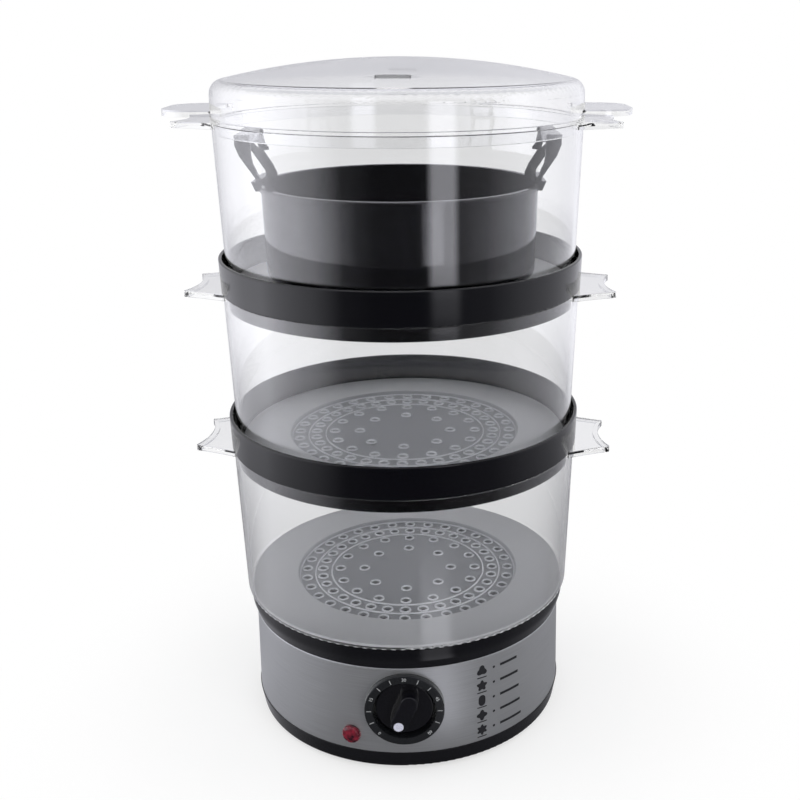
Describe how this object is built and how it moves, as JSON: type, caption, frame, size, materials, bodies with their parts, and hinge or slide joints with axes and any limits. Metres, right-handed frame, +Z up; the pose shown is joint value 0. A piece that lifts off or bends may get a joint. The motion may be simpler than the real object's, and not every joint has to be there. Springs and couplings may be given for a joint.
{
  "type": "electric food steamer",
  "caption": "Electric food steamer: round base with a water tank and clockwork timer, drip tray, stacked clear baskets joined by black rings, rice bowl and domed lid",
  "frame": {"origin": "on the table under the centre of the base", "axes": "+X towards the right-hand handles, +Y to the back, -Y the timer side, +Z up"},
  "size_m": [0.262, 0.2126, 0.4015],
  "materials": {
    "black_plastic": "gloss black moulding",
    "black_plastic_matte": "satin black moulding",
    "brushed_band": "brushed round the base",
    "foot_rubber": "soft rubber",
    "screw_steel": "zinc plated",
    "silicone": "translucent silicone",
    "heater_steel": "pressed stainless steel",
    "element_sheath": "dark oxidised sheath",
    "zinc_steel": "zinc plated steel",
    "aluminium_can": "drawn aluminium",
    "clear_plastic": "clear moulded plastic",
    "clear_lid": "clear moulded plastic",
    "frosted_floor": "smoky frosted plastic",
    "dial_black": "fine satin black",
    "knob_black": "satin black",
    "pointer_silver": "silver inlay",
    "timer_case": "natural plastic",
    "red_lens": "dark red lens",
    "lamp_glass": "neon lamp",
    "gland_rubber": "black rubber",
    "terminal_plastic": "natural plastic",
    "bowl_black": "gloss blue-black"
  },
  "bodies": {
    "base": {"base_housing": "black_plastic", "steel_band": "brushed_band", "bottom_cover": "black_plastic_matte", "rubber_feet": "foot_rubber", "cover_screws": "screw_steel", "heater_gasket": "silicone", "heater_plate": "heater_steel", "heating_element": "element_sheath", "heater_clamp": "zinc_steel", "heater_bolts": "screw_steel", "thermostat": "aluminium_can", "thermal_fuse": "aluminium_can", "dial_bezel": "dial_black", "timer_body": "timer_case", "timer_screws": "screw_steel", "pilot_lens": "red_lens", "pilot_lamp": "lamp_glass", "lamp_holder": "timer_case", "cord_gland": "gland_rubber", "terminal_block": "terminal_plastic"},
    "knob": {"timer_knob": "knob_black", "pointer_inlay": "pointer_silver", "timer_shaft": "zinc_steel"},
    "booster": {"booster_ring": "clear_plastic"},
    "tray": {"drip_tray": "black_plastic"},
    "basket_1": {"lower_basket": "clear_plastic", "lower_floor_plate": "frosted_floor"},
    "ring_1": {"lower_ring": "black_plastic"},
    "basket_2": {"middle_basket": "clear_plastic", "middle_floor_plate": "frosted_floor"},
    "ring_2": {"upper_ring": "black_plastic"},
    "basket_3": {"upper_basket": "clear_plastic", "upper_floor_plate": "frosted_floor"},
    "bowl": {"rice_bowl": "bowl_black"},
    "lid": {"lid": "clear_lid"}
  },
  "joints": [
    {"name": "timer_turn", "type": "hinge", "parent": "base", "child": "knob", "pos_m": [0, -0.098, 0.0423], "axis": [0, 1, 0], "range_deg": [0, 291.5]},
    {"name": "booster_lift", "type": "slide", "parent": "base", "child": "booster", "axis": [0, 0, 1], "range_m": [0, 0.06]},
    {"name": "tray_lift", "type": "slide", "parent": "base", "child": "tray", "axis": [0, 0, 1], "range_m": [0, 0.12]},
    {"name": "basket_1_lift", "type": "slide", "parent": "tray", "child": "basket_1", "axis": [0, 0, 1], "range_m": [0, 0.12]},
    {"name": "ring_1_lift", "type": "slide", "parent": "basket_1", "child": "ring_1", "axis": [0, 0, 1], "range_m": [0, 0.12]},
    {"name": "basket_2_lift", "type": "slide", "parent": "ring_1", "child": "basket_2", "axis": [0, 0, 1], "range_m": [0, 0.12]},
    {"name": "ring_2_lift", "type": "slide", "parent": "basket_2", "child": "ring_2", "axis": [0, 0, 1], "range_m": [0, 0.12]},
    {"name": "basket_3_lift", "type": "slide", "parent": "ring_2", "child": "basket_3", "axis": [0, 0, 1], "range_m": [0, 0.12]},
    {"name": "bowl_lift", "type": "slide", "parent": "basket_3", "child": "bowl", "axis": [0, 0, 1], "range_m": [0, 0.11]},
    {"name": "lid_lift", "type": "slide", "parent": "basket_3", "child": "lid", "axis": [0, 0, 1], "range_m": [0, 0.22]}
  ],
  "couplings": [
    {"joint": "booster_lift", "follows": "tray_lift", "ratio": 0.5},
    {"joint": "bowl_lift", "follows": "lid_lift", "ratio": 0.5}
  ]
}
